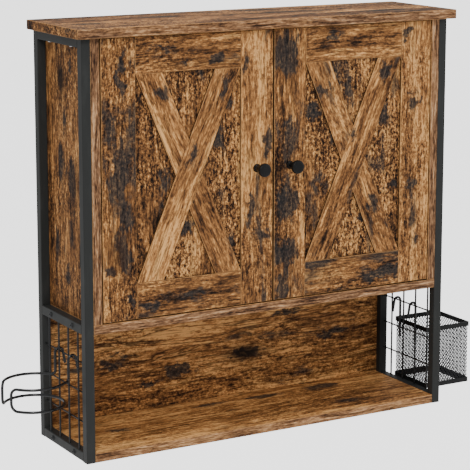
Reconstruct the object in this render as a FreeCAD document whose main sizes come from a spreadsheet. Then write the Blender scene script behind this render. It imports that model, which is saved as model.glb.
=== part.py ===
import FreeCAD, Part
import os
import math
import Sketcher
from FreeCAD import Vector, Placement, Rotation

# Hanging wall cabinet: two welded square-tube side frames carry a top board, a
# two-door cupboard and an open shelf.  A wire mesh basket hangs on the right
# frame's wire grid and a bent-wire hair-dryer holder on the left one.
#
# Frame of the part: origin on the wall plane, at the middle of the bottom edge.
# +X to the right as seen from the front, +Y into the wall, +Z up.  Millimetres.

os.makedirs("parts", exist_ok=True)
doc = FreeCAD.newDocument("hanging_wall_cabinet")

# ---------------------------------------------------------------- dimensions
sheet = doc.addObject("Spreadsheet::Sheet", "Dimensions")
TABLE = [
    ("frame_width", 678.0, "outside width over the two side frames"),
    ("frame_depth", 178.0, "depth of the side frames"),
    ("frame_height", 670.0, "height of the side frames"),
    ("board", 15.0, "thickness of the particle boards"),
    ("tube_side", 15.0, "side of the square steel tube"),
    ("tube_wall", 1.2, "wall of the square steel tube"),
    ("tube_corner", 1.3, "outside corner radius of the tube"),
    ("top_width", 700.0, "width of the top board"),
    ("top_depth", 190.0, "depth of the top board"),
    ("arris", 0.7, "chamfer on every board edge"),
    ("floor_level", 207.0, "underside of the cupboard floor"),
    ("back_thick", 4.0, "thickness of the back panels"),
    ("back_joint", 214.5, "height of the joint between the two back panels"),
    ("cap_thick", 1.5, "flange of the post end caps"),
    ("wire_post", 3.0, "diameter of the grid's upright wires"),
    ("wire_bar", 2.6, "diameter of the grid's level wires"),
    ("wire_post_out", 335.6, "distance of the upright wires from the middle plane"),
    ("wire_bar_out", 332.9, "distance of the level wires from the middle plane"),
    ("wire_first", 35.0, "first upright wire, from the wall"),
    ("wire_pitch", 36.0, "pitch of the upright wires"),
    ("bar_pitch", 48.0, "pitch of the level wires"),
    ("bar_first", 62.0, "height of the lowest level wire"),
    ("door_side_gap", 2.0, "gap between a door and the side panel"),
    ("door_mid_gap", 3.0, "gap between the two doors"),
    ("door_low_gap", 2.0, "gap under and over a door"),
    ("door_base", 11.0, "thickness of a door's base panel"),
    ("strip_thick", 4.0, "thickness of the planted strips"),
    ("stile_width", 59.0, "width of a stile"),
    ("rail_width", 57.0, "width of a rail"),
    ("brace_cut", 47.0, "length of a brace's end cut along the rail"),
    ("strip_arris", 0.8, "chamfer on the front edges of the strips"),
    ("strip_joint", 0.3, "joint between neighbouring strips"),
    ("pivot_in", 15.0, "door pivot from the door's outer edge"),
    ("pivot_back", 7.5, "door pivot behind the door's front face"),
    ("pivot_r", 2.2, "radius of the pivot pins"),
    ("bush_r", 3.0, "outside radius of the pivot bushes"),
    ("bush_long", 14.0, "length of the pivot bushes"),
    ("run_fit", 0.05, "radial running clearance"),
    ("knob_level", 446.0, "height of the knobs"),
    ("knob_out", 31.0, "knobs from the middle plane"),
    ("knob_r", 11.0, "radius of the knob's head"),
    ("knob_long", 28.0, "how far a knob stands out"),
    ("shelf_level", 440.0, "underside of the loose inner shelf"),
    ("shelf_thick", 12.0, "thickness of the loose inner shelf"),
    ("peg_r", 2.5, "radius of the shelf pins"),
    ("screw_r", 2.5, "radius of the frame screws"),
    ("screw_front", 129.0, "front row of frame screws, from the wall"),
    ("screw_rear", 49.0, "rear row of frame screws, from the wall"),
    ("dowel_r", 4.0, "radius of the wooden dowels"),
    ("wall_hole_r", 3.25, "radius of the wall screw holes"),
    ("wall_hole_span", 460.0, "distance between the two wall screw holes"),
    ("wall_hole_level", 645.0, "height of the wall screw holes"),
    ("basket_near", 342.2, "basket's near side from the middle plane"),
    ("basket_wide", 92.0, "basket across, outwards"),
    ("basket_deep", 97.0, "basket along the frame"),
    ("basket_rear", 36.0, "basket's rear side from the wall"),
    ("basket_low", 12.0, "underside of the basket"),
    ("basket_tall", 110.0, "height of the basket"),
    ("basket_band", 8.0, "height of the basket's edge bands"),
    ("basket_strip", 1.5, "thickness of the basket's edge bands"),
    ("basket_flange", 10.0, "width of the base frame's flange"),
    ("mesh_thick", 0.8, "thickness of the basket's mesh"),
    ("hook_wire_r", 2.2, "radius of the basket's hook wire"),
    ("hook_out", 340.0, "basket hooks' outer leg from the middle plane"),
    ("hook_bend", 6.4, "bend radius of the basket hooks"),
    ("holder_wire_r", 2.25, "radius of the dryer holder's wire"),
    ("holder_leg_out", 340.3, "holder's outer legs from the middle plane"),
    ("holder_bend", 6.9, "bend radius of the holder's hooks"),
    ("ring_r", 48.5, "radius of the holder's rings, on the wire's centre line"),
    ("ring_out", 389.5, "centre of the rings from the middle plane"),
    ("ring_rear", 91.0, "centre of the rings from the wall"),
    ("ring_high", 120.0, "height of the upper ring"),
    ("ring_low", 84.0, "height of the lower ring"),
]
VALUE = {}
for row, (alias, number, note) in enumerate(TABLE, start=1):
    sheet.set("A%d" % row, note)
    sheet.set("B%d" % row, repr(number))
    sheet.setAlias("B%d" % row, alias)
doc.recompute()
for alias, number, note in TABLE:
    VALUE[alias] = float(sheet.get(alias))


class Size:
    """A length with its formula in the sheet's cells and its present value."""

    def __init__(self, text, value):
        self.text, self.value = text, value

    @staticmethod
    def of(other):
        if isinstance(other, Size):
            return other
        return Size("%.6g" % other if other >= 0 else "(%.6g)" % other, float(other))

    def __add__(self, other):
        o = Size.of(other)
        return Size("(%s + %s)" % (self.text, o.text), self.value + o.value)

    def __radd__(self, other):
        return Size.of(other) + self

    def __sub__(self, other):
        o = Size.of(other)
        return Size("(%s - %s)" % (self.text, o.text), self.value - o.value)

    def __rsub__(self, other):
        return Size.of(other) - self

    def __mul__(self, other):
        o = Size.of(other)
        return Size("(%s * %s)" % (self.text, o.text), self.value * o.value)

    def __rmul__(self, other):
        return Size.of(other) * self

    def __truediv__(self, other):
        o = Size.of(other)
        return Size("(%s / %s)" % (self.text, o.text), self.value / o.value)

    def __neg__(self):
        return Size("(0 - %s)" % self.text, -self.value)


def dim(alias):
    return Size("Dimensions.%s" % alias, VALUE[alias])


def bind(obj, prop, size):
    size = Size.of(size)
    obj.setExpression(prop, size.text)


NODES = []  # (label, object) of every exported sub-part


def node(obj, label):
    obj.Label = label
    NODES.append((label, obj))
    return obj


def place(obj, x, y, z, axis=None, angle=0.0):
    if axis is not None:
        obj.Placement = Placement(Vector(0, 0, 0), Rotation(Vector(*axis), angle))
    bind(obj, "Placement.Base.x", x)
    bind(obj, "Placement.Base.y", y)
    bind(obj, "Placement.Base.z", z)
    return obj


def plane_of(body, role):
    for feature in body.Origin.OriginFeatures:
        if feature.Role == role:
            return feature
    raise RuntimeError("no plane " + role)


def new_sketch(body, name, role="XY_Plane"):
    sk = body.newObject("Sketcher::SketchObject", name)
    sk.AttachmentSupport = [(plane_of(body, role), "")]
    sk.MapMode = "FlatFace"
    return sk


def polygon(sk, points):
    """Closed polygon whose corners are tied to the sketch's origin by formulas."""
    pts = [(Size.of(a), Size.of(b)) for a, b in points]
    first = len(sk.Geometry)
    n = len(pts)
    for i in range(n):
        p, q = pts[i], pts[(i + 1) % n]
        sk.addGeometry(
            Part.LineSegment(
                Vector(p[0].value, p[1].value, 0), Vector(q[0].value, q[1].value, 0)
            ),
            False,
        )
    for i in range(n):
        sk.addConstraint(
            Sketcher.Constraint("Coincident", first + i, 2, first + (i + 1) % n, 1)
        )
    for i in range(n):
        for kind, size in (("DistanceX", pts[i][0]), ("DistanceY", pts[i][1])):
            c = sk.addConstraint(
                Sketcher.Constraint(kind, -1, 1, first + i, 1, size.value)
            )
            sk.setExpression("Constraints[%d]" % c, size.text)


def circle(sk, x, y, r):
    x, y, r = Size.of(x), Size.of(y), Size.of(r)
    g = sk.addGeometry(
        Part.Circle(Vector(x.value, y.value, 0), Vector(0, 0, 1), r.value), False
    )
    for kind, size in (("DistanceX", x), ("DistanceY", y)):
        c = sk.addConstraint(Sketcher.Constraint(kind, -1, 1, g, 3, size.value))
        sk.setExpression("Constraints[%d]" % c, size.text)
    c = sk.addConstraint(Sketcher.Constraint("Radius", g, r.value))
    sk.setExpression("Constraints[%d]" % c, r.text)


def rectangle(x0, y0, x1, y1):
    return [(x0, y0), (x1, y0), (x1, y1), (x0, y1)]


def pad(body, sk, length):
    feature = body.newObject("PartDesign::Pad", sk.Name + "_pad")
    feature.Profile = sk
    feature.Length = Size.of(length).value
    bind(feature, "Length", length)
    sk.Visibility = False
    return feature


def edges_where(shape, test):
    names = []
    for i, e in enumerate(shape.Edges, start=1):
        mid = e.valueAt((e.FirstParameter + e.LastParameter) / 2)
        if test(e, mid):
            names.append("Edge%d" % i)
    return names


def chamfer(body, base, size, test):
    doc.recompute()
    feature = body.newObject("PartDesign::Chamfer", base.Name + "_arris")
    feature.Base = (base, edges_where(base.Shape, test))
    feature.Size = Size.of(size).value
    bind(feature, "Size", size)
    return feature


def fillet(body, base, size, test):
    doc.recompute()
    feature = body.newObject("PartDesign::Fillet", base.Name + "_round")
    feature.Base = (base, edges_where(base.Shape, test))
    feature.Radius = Size.of(size).value
    bind(feature, "Radius", size)
    return feature


def board(name, lx, ly, lz, arris=None):
    """A board with its low corner on the body's origin and all its edges eased."""
    body = doc.addObject("PartDesign::Body", name + "_body")
    sk = new_sketch(body, name + "_outline")
    polygon(sk, rectangle(0, 0, lx, ly))
    p = pad(body, sk, lz)
    if arris is not None:
        chamfer(body, p, arris, lambda e, m: True)
    return body


def drilled(name, base, bores):
    """base less round bores, each (x, y, z, direction, radius, depth)."""
    tools = []
    for i, (x, y, z, axis, r, depth) in enumerate(bores):
        c = doc.addObject("Part::Cylinder", "%s_bore_%d" % (name, i))
        bind(c, "Radius", r)
        bind(c, "Height", depth)
        turn = {
            "+Z": None,
            "-Z": ((1, 0, 0), 180),
            "+X": ((0, 1, 0), 90),
            "-X": ((0, 1, 0), -90),
            "+Y": ((1, 0, 0), -90),
            "-Y": ((1, 0, 0), 90),
        }[axis]
        if turn is None:
            place(c, x, y, z)
        else:
            place(c, x, y, z, turn[0], turn[1])
        tools.append(c)
    if len(tools) == 1:
        tool = tools[0]
    else:
        tool = doc.addObject("Part::Compound", name + "_bores")
        tool.Links = tools
    cut = doc.addObject("Part::Cut", name)
    cut.Base = base
    cut.Tool = tool
    return cut


def solid_group(label, shapes):
    """Identical fasteners kept together as one group of separate solids."""
    f = doc.addObject("Part::Feature", label)
    f.Shape = Part.Compound(shapes)
    f.Placement = Placement(Vector(0, 0, 0), Rotation())
    return node(f, label)


# ------------------------------------------------------------ derived sizes
half = dim("frame_width") / 2
tube = dim("tube_side")
depth = dim("frame_depth")
high = dim("frame_height")
board_t = dim("board")
inner = half - tube  # inside of a side frame, from the middle plane
floor_top = dim("floor_level") + board_t
board_run = depth - dim("back_thick")  # boards stop at the back panel

# ------------------------------------------------------------- side frames
WORLD = {"left": -1, "right": 1}


def square_tube(name, length):
    body = doc.addObject("PartDesign::Body", name + "_tube")
    sk = new_sketch(body, name + "_section")
    w = dim("tube_wall")
    polygon(sk, rectangle(0, 0, tube, tube))
    polygon(sk, rectangle(w, w, tube - w, tube - w))
    p = pad(body, sk, length)
    side = VALUE["tube_side"]

    def corner(e, m):
        long_edge = abs(e.tangentAt(e.FirstParameter).z) > 0.9
        return long_edge and min(m.x, side - m.x) < 0.01 and min(m.y, side - m.y) < 0.01

    fillet(body, p, dim("tube_corner"), corner)
    return body


for side, sign in WORLD.items():
    low_x = -half if sign < 0 else inner
    for post, y in (("front", -depth), ("rear", -tube)):
        name = "%s_post_%s" % (post, side)
        body = square_tube(name, high - dim("cap_thick"))
        place(body, low_x, y, dim("cap_thick"))
        node(body, name)
    # the cross tubes run from post to post; their own length lies along +Y
    for level, z in (
        ("bottom", Size.of(0)),
        ("middle", dim("floor_level")),
        ("top", high - tube),
    ):
        name = "%s_tube_%s" % (level, side)
        body = square_tube(name, depth - 2 * tube)
        place(body, low_x, -depth + tube, z + tube, (1, 0, 0), -90)
        hole = dim("screw_r") + 0.2
        bores = []
        for row in ("screw_rear", "screw_front"):
            if level == "top":
                bores.append(
                    (low_x + tube / 2, -dim(row), z - 1, "+Z", hole, tube + 2)
                )
            else:
                bores.append(
                    (low_x - 1, -dim(row), z + tube / 2, "+X", hole, tube + 2)
                )
        node(drilled(name, body, bores), name)

    # welded wire grid in the open bay: four upright wires, three level ones
    name = "wire_grid_" + side
    wires = []
    for i in range(4):
        c = doc.addObject("Part::Cylinder", "%s_upright_%d" % (name, i))
        bind(c, "Radius", dim("wire_post") / 2)
        bind(c, "Height", dim("floor_level") - tube)
        place(
            c,
            sign * dim("wire_post_out"),
            -dim("wire_first") - i * dim("wire_pitch"),
            tube,
        )
        wires.append(c)
    for i in range(3):
        c = doc.addObject("Part::Cylinder", "%s_level_%d" % (name, i))
        bind(c, "Radius", dim("wire_bar") / 2)
        bind(c, "Height", depth - 2 * tube)
        place(
            c,
            sign * dim("wire_bar_out"),
            -depth + tube,
            dim("bar_first") + i * dim("bar_pitch"),
            (1, 0, 0),
            -90,
        )
        wires.append(c)
    grid = doc.addObject("Part::MultiFuse", name)
    grid.Shapes = wires
    node(grid, name)

# plastic end caps under the four posts
caps = []
cap_in = VALUE["tube_side"] - 2 * VALUE["tube_wall"] - 0.3
for sign in (-1, 1):
    for y in (-VALUE["frame_depth"], -VALUE["tube_side"]):
        x = -VALUE["frame_width"] / 2 if sign < 0 else inner.value
        s, t = VALUE["tube_side"], VALUE["cap_thick"]
        flange = Part.makeBox(s, s, t, Vector(x, y, 0))
        flange = flange.makeFillet(
            VALUE["tube_corner"], [e for e in flange.Edges if abs(e.BoundBox.ZLength - t) < 1e-6]
        )
        d = (s - cap_in) / 2
        spigot = Part.makeBox(cap_in, cap_in, 11.0, Vector(x + d, y + d, t))
        spigot = spigot.makeFillet(
            0.5, [e for e in spigot.Edges if abs(e.BoundBox.ZLength - 11.0) < 1e-6]
        )
        bore = Part.makeBox(cap_in - 4, cap_in - 4, 10.0, Vector(x + d + 2, y + d + 2, t + 2))
        caps.append(flange.fuse(spigot).cut(bore).removeSplitter())
solid_group("post_end_caps", caps)

# ------------------------------------------------------------------ boards
dowel_at = []  # (x, y, low z) of each dowel
for sx in (-1, 1):
    for y in (40.0, 138.0):
        dowel_at.append((sx * (inner - board_t / 2), -y, "floor"))
        dowel_at.append((sx * (inner - board_t / 2), -y, "top"))
bore_r = dim("dowel_r") + 0.1
screw_bore = dim("screw_r") + 0.05
pivot_x = half - tube - board_t - dim("door_side_gap") - dim("pivot_in")
pivot_y = -depth + dim("pivot_back")

top = board("top_board", dim("top_width"), dim("top_depth"), board_t, dim("arris"))
place(top, -dim("top_width") / 2, -dim("top_depth"), high)
bracket_screw_at = [
    (sx * VALUE["wall_hole_span"] / 2 + dx, -VALUE["back_thick"] - 24.0)
    for sx in (-1, 1)
    for dx in (-11.0, 11.0)
]
catch_y = -depth + dim("strip_thick") + dim("door_base") + 1.6
catch_screw_at = [(sx * 20.0, catch_y.value + 11.0) for sx in (-1, 1)]
bores = [
    (x, y, high - 1, "+Z", bore_r, 11) for x, y, where in dowel_at if where == "top"
]
for sx in (-1, 1):
    for row in ("screw_rear", "screw_front"):
        bores.append(
            (sx * (half - tube / 2), -dim(row), high - 1, "+Z", screw_bore, 13)
        )
    bores.append((sx * pivot_x, pivot_y, high - 1, "+Z", dim("pivot_r") + 0.02, 11))
bores += [(x, y, high - 1, "+Z", 1.65, 12.5) for x, y in bracket_screw_at]
bores += [(x, y, high - 1, "+Z", 1.65, 7) for x, y in catch_screw_at]
node(drilled("top_board", top, bores), "top_board")


def end_bores(z):
    out = []
    for row in ("screw_rear", "screw_front"):
        out.append((-inner - 1, -dim(row), z, "+X", screw_bore, 27))
        out.append((inner + 1, -dim(row), z, "-X", screw_bore, 27))
    return out


# the back panels' screws, as (x, height)
BACK_X = (-250.0, -85.0, 85.0, 250.0)
SCREW_UPPER = [(x, 219.0) for x in BACK_X] + [
    (sx * 316.5, z) for sx in (-1, 1) for z in (330.0, 445.0, 560.0)
]
SCREW_LOWER = [(x, z) for x in BACK_X for z in (7.5, 210.5)]


def pilots(test):
    return [
        (x, -dim("back_thick") + 1, z, "-Y", 1.22, 12)
        for x, z in SCREW_UPPER + SCREW_LOWER
        if test(x, z)
    ]


shelf = board("bottom_shelf", 2 * inner, board_run, board_t, dim("arris"))
place(shelf, -inner, -depth, 0)
bores = end_bores(board_t / 2) + pilots(lambda x, z: z < 15)
node(drilled("bottom_shelf", shelf, bores), "bottom_shelf")

floor = board("cabinet_floor", 2 * inner, board_run, board_t, dim("arris"))
place(floor, -inner, -depth, dim("floor_level"))
bores = end_bores(dim("floor_level") + board_t / 2)
bores += pilots(lambda x, z: 205 < z < 225)
bores += [
    (x, y, floor_top + 1, "-Z", bore_r, 11) for x, y, where in dowel_at if where == "floor"
]
for sx in (-1, 1):
    bores.append((sx * pivot_x, pivot_y, floor_top + 1, "-Z", dim("pivot_r") + 0.02, 11))
node(drilled("cabinet_floor", floor, bores), "cabinet_floor")

peg_y = (35.0, 125.0)
peg_z = dim("shelf_level") - dim("peg_r")
for side, sign in WORLD.items():
    name = "side_panel_" + side
    panel = board(name, board_t, board_run, high - floor_top, dim("arris"))
    place(panel, -inner if sign < 0 else inner - board_t, -depth, floor_top)
    mid = sign * (inner - board_t / 2)
    bores = [
        (mid, -40.0, floor_top - 1, "+Z", bore_r, 11.5),
        (mid, -138.0, floor_top - 1, "+Z", bore_r, 11.5),
        (mid, -40.0, high + 1, "-Z", bore_r, 11.5),
        (mid, -138.0, high + 1, "-Z", bore_r, 11.5),
    ]
    face = sign * (inner - board_t - 1)
    for y in peg_y:
        for step in (-1, 0, 1):
            bores.append(
                (
                    face,
                    -y,
                    peg_z + step * 48.0,
                    "+X" if sign > 0 else "-X",
                    dim("peg_r") + 0.05,
                    10.5,
                )
            )
    bores += pilots(lambda x, z: x * sign > 300)
    node(drilled(name, panel, bores), name)

inner_shelf = board(
    "inner_shelf",
    2 * (inner - board_t - 1),
    145.0,
    dim("shelf_thick"),
    dim("arris"),
)
place(inner_shelf, -inner + board_t + 1, -150.0, dim("shelf_level"))
node(inner_shelf, "inner_shelf")

# back panels: thin boards set between the rear posts, screwed on from behind
wall_x = dim("wall_hole_span") / 2
upper = board(
    "upper_back_panel", 2 * inner, dim("back_thick"), high - dim("back_joint") - 0.3
)
place(upper, -inner, -dim("back_thick"), dim("back_joint") + 0.3)
hole_y = 1.0
upper = drilled(
    "upper_back_panel",
    upper,
    [(sx * wall_x, hole_y, dim("wall_hole_level"), "-Y", dim("wall_hole_r"), 8) for sx in (-1, 1)]
    + [(x, hole_y, z, "-Y", 1.78, 8) for x, z in SCREW_UPPER],
)
node(upper, "upper_back_panel")
lower = board("lower_back_panel", 2 * inner, dim("back_thick"), dim("back_joint"))
place(lower, -inner, -dim("back_thick"), 0)
lower = drilled(
    "lower_back_panel", lower, [(x, hole_y, z, "-Y", 1.78, 8) for x, z in SCREW_LOWER]
)
node(lower, "lower_back_panel")


# --------------------------------------------------------------- fasteners
def button_screw(head_r, head_h, shank_r, length):
    """Button-head screw with a hexagon socket: head above z = 0, shank below."""
    pts = [
        Vector(0, 0, -length),
        Vector(shank_r - 0.5, 0, -length),
        Vector(shank_r, 0, -length + 0.8),
        Vector(shank_r, 0, 0),
        Vector(head_r, 0, 0),
        Vector(head_r, 0, head_h * 0.25),
        Vector(head_r * 0.84, 0, head_h * 0.75),
        Vector(head_r * 0.55, 0, head_h),
        Vector(0, 0, head_h),
        Vector(0, 0, -length),
    ]
    body = Part.Face(Part.makePolygon(pts)).revolve(Vector(0, 0, 0), Vector(0, 0, 1), 360)
    hexa = []
    for i in range(7):
        a = math.radians(60 * i)
        hexa.append(
            Vector(head_r * 0.4 * math.cos(a), head_r * 0.4 * math.sin(a), head_h + 0.5)
        )
    socket = Part.Face(Part.makePolygon(hexa)).extrude(Vector(0, 0, -0.5 - head_h * 0.6))
    return body.cut(socket)


def pan_screw(head_r, head_h, shank_r, length):
    pts = [
        Vector(0, 0, -length),
        Vector(shank_r, 0, -length + 1.5),
        Vector(shank_r, 0, 0),
        Vector(head_r, 0, 0),
        Vector(head_r, 0, head_h * 0.45),
        Vector(head_r * 0.7, 0, head_h),
        Vector(0, 0, head_h),
        Vector(0, 0, -length),
    ]
    body = Part.Face(Part.makePolygon(pts)).revolve(Vector(0, 0, 0), Vector(0, 0, 1), 360)
    arm = head_r * 1.1
    slot = Part.makeBox(arm, 0.7, head_h, Vector(-arm / 2, -0.35, head_h * 0.45))
    cross = Part.makeBox(0.7, arm, head_h, Vector(-0.35, -arm / 2, head_h * 0.45))
    return body.cut(slot.fuse(cross))


def set_at(shape, x, y, z, direction):
    """A copy of a fastener with its head end pointing along direction."""
    s = shape.copy()
    s.Placement = Placement(
        Vector(x, y, z), Rotation(Vector(0, 0, 1), Vector(*direction))
    )
    return s


frame_screw = button_screw(4.2, 2.2, VALUE["screw_r"], 38.0)
rows = (-VALUE["screw_rear"], -VALUE["screw_front"])
solid_group(
    "frame_side_screws",
    [
        set_at(frame_screw, sx * half.value, y, z, (sx, 0, 0))
        for sx in (-1, 1)
        for y in rows
        for z in (VALUE["board"] / 2, VALUE["floor_level"] + VALUE["board"] / 2)
    ],
)
top_screw = button_screw(4.2, 2.2, VALUE["screw_r"], 26.0)
solid_group(
    "frame_top_screws",
    [
        set_at(
            top_screw,
            sx * (half.value - VALUE["tube_side"] / 2),
            y,
            VALUE["frame_height"] - VALUE["tube_side"],
            (0, 0, -1),
        )
        for sx in (-1, 1)
        for y in rows
    ],
)


def flat_screw(head_r, shank_r, length):
    """Countersunk screw, its head flush at z = 0."""
    pts = [
        Vector(0, 0, -length),
        Vector(shank_r, 0, -length + 1.5),
        Vector(shank_r, 0, -1.6),
        Vector(head_r, 0, -0.2),
        Vector(head_r, 0, 0),
        Vector(0, 0, 0),
        Vector(0, 0, -length),
    ]
    return Part.Face(Part.makePolygon(pts)).revolve(
        Vector(0, 0, 0), Vector(0, 0, 1), 360
    )


panel_screw = flat_screw(1.75, 1.2, 14.0)
solid_group(
    "back_panel_screws",
    [set_at(panel_screw, x, 0, z, (0, 1, 0)) for x, z in SCREW_UPPER + SCREW_LOWER],
)

dowels = []
for x, y, where in dowel_at:
    base = floor_top.value if where == "floor" else VALUE["frame_height"]
    r = VALUE["dowel_r"]
    d = Part.makeCylinder(r, 19.0, Vector(x.value, y, base - 9.5))
    dowels.append(d.makeChamfer(0.8, [e for e in d.Edges if e.Length > 2 and abs(e.BoundBox.ZLength) < 1e-6]))
solid_group("panel_dowels", dowels)

pegs = []
for sx in (-1, 1):
    for y in peg_y:
        wall = sx * (inner.value - VALUE["board"])
        r = VALUE["peg_r"]
        peg = Part.makeCylinder(r, 8.8, Vector(wall, -y, peg_z.value), Vector(sx, 0, 0))
        tip = Part.makeCylinder(r, 8.0, Vector(wall, -y, peg_z.value), Vector(-sx, 0, 0))
        collar = Part.makeCylinder(3.6, 0.8, Vector(wall, -y, peg_z.value), Vector(-sx, 0, 0))
        pegs.append(peg.fuse([tip, collar]).removeSplitter())
solid_group("shelf_pins", pegs)

pins = []
for sx in (-1, 1):
    for base, up in ((floor_top.value, 1), (VALUE["frame_height"], -1)):
        r = VALUE["pivot_r"]
        start = base - up * 9.8
        pin = Part.makeCylinder(
            r, 23.0, Vector(sx * pivot_x.value, pivot_y.value, start), Vector(0, 0, up)
        )
        pins.append(pin.makeChamfer(0.6, [e for e in pin.Edges if abs(e.BoundBox.ZLength) < 1e-6]))
solid_group("door_pivot_pins", pins)

# two angle brackets under the top board; the wall screws go through their
# upright legs and the back panel
brackets, bracket_screws = [], []
small_screw = pan_screw(3.2, 1.9, 1.6, 13.0)
for sx in (-1, 1):
    x, t = sx * VALUE["wall_hole_span"] / 2, VALUE["back_thick"]
    zt = VALUE["frame_height"]
    leg = Part.makeBox(40, 2, 44, Vector(x - 20, -t - 2, zt - 44))
    foot = Part.makeBox(40, 36, 2, Vector(x - 20, -t - 36, zt - 2))
    b = leg.fuse(foot).removeSplitter()
    bend = [
        e
        for e in b.Edges
        if abs(e.BoundBox.XLength - 40) < 1e-6
        and abs(e.BoundBox.YMin + t) < 0.01
        and abs(e.BoundBox.ZMin - zt) < 0.01
    ]
    b = b.makeFillet(1.8, bend)
    corners = [
        e
        for e in b.Edges
        if (abs(e.BoundBox.YLength - 2) < 1e-6 and e.BoundBox.ZMax < zt - 40)
        or (abs(e.BoundBox.ZLength - 2) < 1e-6 and e.BoundBox.YMax < -t - 30)
    ]
    b = b.makeFillet(4.0, corners)
    b = b.cut(
        Part.makeCylinder(
            VALUE["wall_hole_r"], 8, Vector(x, 1, VALUE["wall_hole_level"]), Vector(0, -1, 0)
        )
    )
    for dx in (-11, 11):
        b = b.cut(Part.makeCylinder(1.8, 6, Vector(x + dx, -t - 24, zt - 4)))
        bracket_screws.append(set_at(small_screw, x + dx, -t - 24, zt - 2, (0, 0, -1)))
    brackets.append(b)
solid_group("wall_brackets", brackets)
catch_low = VALUE["frame_height"] - 13.0
for x, y in catch_screw_at:
    bracket_screws.append(set_at(small_screw, x, y, catch_low + 5.0, (0, 0, -1)))
solid_group("bracket_screws", bracket_screws)

# double magnetic catch under the top board, between the doors
catch = doc.addObject("PartDesign::Body", "magnetic_catch_body")
sk = new_sketch(catch, "catch_outline")
polygon(sk, rectangle(0, 0, 56, 16))
p = pad(catch, sk, 13)
fillet(
    catch,
    p,
    1.5,
    lambda e, m: abs(e.tangentAt(e.FirstParameter).z) > 0.9,
)
place(catch, -28, catch_y, high - 13)
catch_cut = drilled(
    "magnetic_catch",
    catch,
    [(x, y, high - 14, "+Z", 1.8, 20) for x, y in catch_screw_at]
    + [(x, y, high - 14, "+Z", 3.4, 6) for x, y in catch_screw_at],
)
node(catch_cut, "magnetic_catch")

# ------------------------------------------------------------------- doors
door_w = inner - board_t - dim("door_side_gap") - dim("door_mid_gap") / 2
door_h = high - floor_top - 2 * dim("door_low_gap")
door_z = floor_top + dim("door_low_gap")
strip_y = -depth + dim("strip_thick")  # front of the base panel
open_w = door_w - 2 * dim("stile_width")
open_h = door_h - 2 * dim("rail_width")
cut_w = dim("brace_cut")
lean = (open_w - cut_w) / open_h
gap = dim("strip_joint")


def strip(name, points, x, z):
    """A strip planted on the door: outline in X and Z, its face towards -Y."""
    body = doc.addObject("PartDesign::Body", name + "_body")
    sk = new_sketch(body, name + "_outline")
    polygon(sk, points)
    p = pad(body, sk, dim("strip_thick"))
    face = VALUE["strip_thick"]
    chamfer(
        body,
        p,
        dim("strip_arris"),
        lambda e, m: abs(m.z - face) < 0.01
        and abs(e.tangentAt(e.FirstParameter).z) < 0.1,
    )
    # sketch X to +X, sketch Y to +Z, the pad's own direction to -Y
    place(body, x, strip_y, z, (1, 0, 0), 90)
    return node(body, name)


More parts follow.
